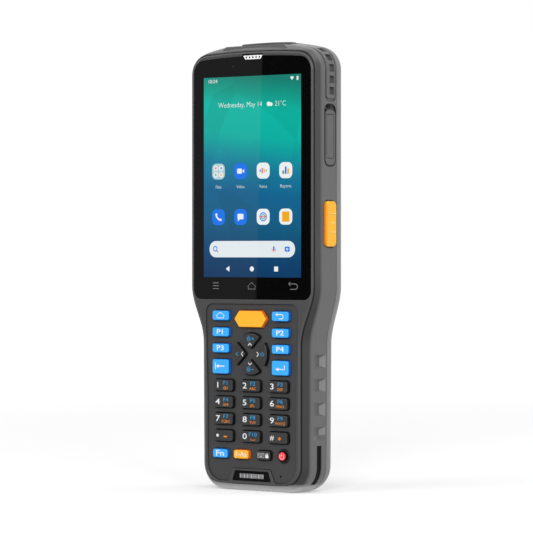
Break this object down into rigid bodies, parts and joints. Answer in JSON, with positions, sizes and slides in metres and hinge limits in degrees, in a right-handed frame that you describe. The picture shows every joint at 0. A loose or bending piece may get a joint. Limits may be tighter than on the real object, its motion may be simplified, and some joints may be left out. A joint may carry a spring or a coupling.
{
  "type": "portable barcode data terminal",
  "caption": "Tall handheld data terminal with a screen above a narrow keypad, coloured keys, side scan triggers and an arched crown.",
  "frame": {"origin": "middle of the bounding box's floor, under the foot", "axes": "+X towards the side with the port cover, +Y from the screen to the back, +Z from the foot up to the crown"},
  "size_m": [0.0716, 0.0236, 0.1951],
  "materials": {
    "frame_grey": "fine satin texture",
    "bezel_dark": "satin",
    "rear_grey": "satin",
    "seal_rubber": "matt",
    "cover_glass": "polished",
    "display": "glossy",
    "chassis_metal": "plain",
    "grille_white": "white paint",
    "black_plastic": "plain",
    "keypad_dark": "satin",
    "membrane_rubber": "matt",
    "circuit_board": "solder mask",
    "badge_metal": "glossy",
    "steel": "plain",
    "scan_glass": "polished",
    "hood_grey": "satin",
    "camera_glass": "polished",
    "contact_brass": "gold flash",
    "strip_rubber": "matt",
    "cover_rubber": "matt",
    "latch_dark": "satin",
    "key_orange": "satin",
    "key_blue": "satin",
    "key_dark": "satin",
    "key_red": "satin"
  },
  "bodies": {
    "casing": {"main_frame": "frame_grey", "front_bezel": "bezel_dark", "rear_housing": "rear_grey", "housing_seal": "seal_rubber", "cover_glass": "cover_glass", "lcd_module": "display", "chassis_plate": "chassis_metal", "earpiece_grille": "grille_white", "earpiece_receiver": "black_plastic", "keypad_panel": "keypad_dark", "keypad_membrane": "membrane_rubber", "keypad_board": "circuit_board", "badge_plate": "badge_metal", "main_board": "circuit_board", "usb_connector": "steel", "scan_engine": "black_plastic", "scan_window": "scan_glass", "scan_window_frame": "hood_grey", "battery_pack": "black_plastic", "loudspeaker": "black_plastic", "rear_camera": "black_plastic", "rear_camera_window": "camera_glass", "trigger_switches": "black_plastic", "charging_contacts": "contact_brass", "housing_screws": "steel", "corner_strips": "strip_rubber"},
    "port_cover": {"port_cover": "cover_rubber"},
    "battery_cover": {"battery_cover": "rear_grey"},
    "battery_latch": {"battery_latch": "latch_dark"},
    "right_trigger": {"right_trigger": "key_orange"},
    "left_trigger": {"left_trigger": "key_orange"},
    "key_home": {"key_home": "key_blue"},
    "key_return": {"key_return": "key_blue"},
    "key_p1": {"key_p1": "key_blue"},
    "key_p2": {"key_p2": "key_blue"},
    "key_p3": {"key_p3": "key_blue"},
    "key_p4": {"key_p4": "key_blue"},
    "key_tab": {"key_tab": "key_blue"},
    "key_enter": {"key_enter": "key_blue"},
    "key_scan": {"key_scan": "key_orange"},
    "key_up": {"key_up": "key_dark"},
    "key_left": {"key_left": "key_dark"},
    "key_down": {"key_down": "key_dark"},
    "key_right": {"key_right": "key_dark"},
    "key_fn": {"key_fn": "key_blue"},
    "key_mode": {"key_mode": "key_orange"},
    "key_lock": {"key_lock": "key_dark"},
    "key_power": {"key_power": "key_red"},
    "key_1": {"key_1": "key_dark"},
    "key_2": {"key_2": "key_dark"},
    "key_3": {"key_3": "key_dark"},
    "key_4": {"key_4": "key_dark"},
    "key_5": {"key_5": "key_dark"},
    "key_6": {"key_6": "key_dark"},
    "key_7": {"key_7": "key_dark"},
    "key_8": {"key_8": "key_dark"},
    "key_9": {"key_9": "key_dark"},
    "key_point": {"key_point": "key_dark"},
    "key_0": {"key_0": "key_dark"},
    "key_hash": {"key_hash": "key_dark"}
  },
  "joints": [
    {"name": "port_cover_hinge", "type": "hinge", "parent": "casing", "child": "port_cover", "pos_m": [0.0345, 0, 0.1405], "axis": [0, 1, 0], "range_deg": [0, 110]},
    {"name": "battery_cover_hinge", "type": "hinge", "parent": "casing", "child": "battery_cover", "pos_m": [0, 0.0118, 0.0116], "axis": [-1, 0, 0], "range_deg": [0, 75]},
    {"name": "battery_latch_slide", "type": "slide", "parent": "battery_cover", "child": "battery_latch", "axis": [0, 0, -1], "range_m": [0, 0.003], "stiffness_N_per_m": 60},
    {"name": "right_trigger_press", "type": "slide", "parent": "casing", "child": "right_trigger", "axis": [-1, 0, 0], "range_m": [0, 0.0006], "stiffness_N_per_m": 400},
    {"name": "left_trigger_press", "type": "slide", "parent": "casing", "child": "left_trigger", "axis": [1, 0, 0], "range_m": [0, 0.0006], "stiffness_N_per_m": 400},
    {"name": "key_home_press", "type": "slide", "parent": "casing", "child": "key_home", "axis": [0, 1, 0], "range_m": [0, 0.0007], "stiffness_N_per_m": 200},
    {"name": "key_return_press", "type": "slide", "parent": "casing", "child": "key_return", "axis": [0, 1, 0], "range_m": [0, 0.0007], "stiffness_N_per_m": 200},
    {"name": "key_p1_press", "type": "slide", "parent": "casing", "child": "key_p1", "axis": [0, 1, 0], "range_m": [0, 0.0007], "stiffness_N_per_m": 200},
    {"name": "key_p2_press", "type": "slide", "parent": "casing", "child": "key_p2", "axis": [0, 1, 0], "range_m": [0, 0.0007], "stiffness_N_per_m": 200},
    {"name": "key_p3_press", "type": "slide", "parent": "casing", "child": "key_p3", "axis": [0, 1, 0], "range_m": [0, 0.0007], "stiffness_N_per_m": 200},
    {"name": "key_p4_press", "type": "slide", "parent": "casing", "child": "key_p4", "axis": [0, 1, 0], "range_m": [0, 0.0007], "stiffness_N_per_m": 200},
    {"name": "key_tab_press", "type": "slide", "parent": "casing", "child": "key_tab", "axis": [0, 1, 0], "range_m": [0, 0.0007], "stiffness_N_per_m": 200},
    {"name": "key_enter_press", "type": "slide", "parent": "casing", "child": "key_enter", "axis": [0, 1, 0], "range_m": [0, 0.0007], "stiffness_N_per_m": 200},
    {"name": "key_scan_press", "type": "slide", "parent": "casing", "child": "key_scan", "axis": [0, 1, 0], "range_m": [0, 0.0007], "stiffness_N_per_m": 200},
    {"name": "key_up_press", "type": "slide", "parent": "casing", "child": "key_up", "axis": [0, 1, 0], "range_m": [0, 0.0007], "stiffness_N_per_m": 200},
    {"name": "key_left_press", "type": "slide", "parent": "casing", "child": "key_left", "axis": [0, 1, 0], "range_m": [0, 0.0007], "stiffness_N_per_m": 200},
    {"name": "key_down_press", "type": "slide", "parent": "casing", "child": "key_down", "axis": [0, 1, 0], "range_m": [0, 0.0007], "stiffness_N_per_m": 200},
    {"name": "key_right_press", "type": "slide", "parent": "casing", "child": "key_right", "axis": [0, 1, 0], "range_m": [0, 0.0007], "stiffness_N_per_m": 200},
    {"name": "key_fn_press", "type": "slide", "parent": "casing", "child": "key_fn", "axis": [0, 1, 0], "range_m": [0, 0.0007], "stiffness_N_per_m": 200},
    {"name": "key_mode_press", "type": "slide", "parent": "casing", "child": "key_mode", "axis": [0, 1, 0], "range_m": [0, 0.0007], "stiffness_N_per_m": 200},
    {"name": "key_lock_press", "type": "slide", "parent": "casing", "child": "key_lock", "axis": [0, 1, 0], "range_m": [0, 0.0007], "stiffness_N_per_m": 200},
    {"name": "key_power_press", "type": "slide", "parent": "casing", "child": "key_power", "axis": [0, 1, 0], "range_m": [0, 0.0007], "stiffness_N_per_m": 200},
    {"name": "key_1_press", "type": "slide", "parent": "casing", "child": "key_1", "axis": [0, 1, 0], "range_m": [0, 0.0007], "stiffness_N_per_m": 200},
    {"name": "key_2_press", "type": "slide", "parent": "casing", "child": "key_2", "axis": [0, 1, 0], "range_m": [0, 0.0007], "stiffness_N_per_m": 200},
    {"name": "key_3_press", "type": "slide", "parent": "casing", "child": "key_3", "axis": [0, 1, 0], "range_m": [0, 0.0007], "stiffness_N_per_m": 200},
    {"name": "key_4_press", "type": "slide", "parent": "casing", "child": "key_4", "axis": [0, 1, 0], "range_m": [0, 0.0007], "stiffness_N_per_m": 200},
    {"name": "key_5_press", "type": "slide", "parent": "casing", "child": "key_5", "axis": [0, 1, 0], "range_m": [0, 0.0007], "stiffness_N_per_m": 200},
    {"name": "key_6_press", "type": "slide", "parent": "casing", "child": "key_6", "axis": [0, 1, 0], "range_m": [0, 0.0007], "stiffness_N_per_m": 200},
    {"name": "key_7_press", "type": "slide", "parent": "casing", "child": "key_7", "axis": [0, 1, 0], "range_m": [0, 0.0007], "stiffness_N_per_m": 200},
    {"name": "key_8_press", "type": "slide", "parent": "casing", "child": "key_8", "axis": [0, 1, 0], "range_m": [0, 0.0007], "stiffness_N_per_m": 200},
    {"name": "key_9_press", "type": "slide", "parent": "casing", "child": "key_9", "axis": [0, 1, 0], "range_m": [0, 0.0007], "stiffness_N_per_m": 200},
    {"name": "key_point_press", "type": "slide", "parent": "casing", "child": "key_point", "axis": [0, 1, 0], "range_m": [0, 0.0007], "stiffness_N_per_m": 200},
    {"name": "key_0_press", "type": "slide", "parent": "casing", "child": "key_0", "axis": [0, 1, 0], "range_m": [0, 0.0007], "stiffness_N_per_m": 200},
    {"name": "key_hash_press", "type": "slide", "parent": "casing", "child": "key_hash", "axis": [0, 1, 0], "range_m": [0, 0.0007], "stiffness_N_per_m": 200}
  ]
}
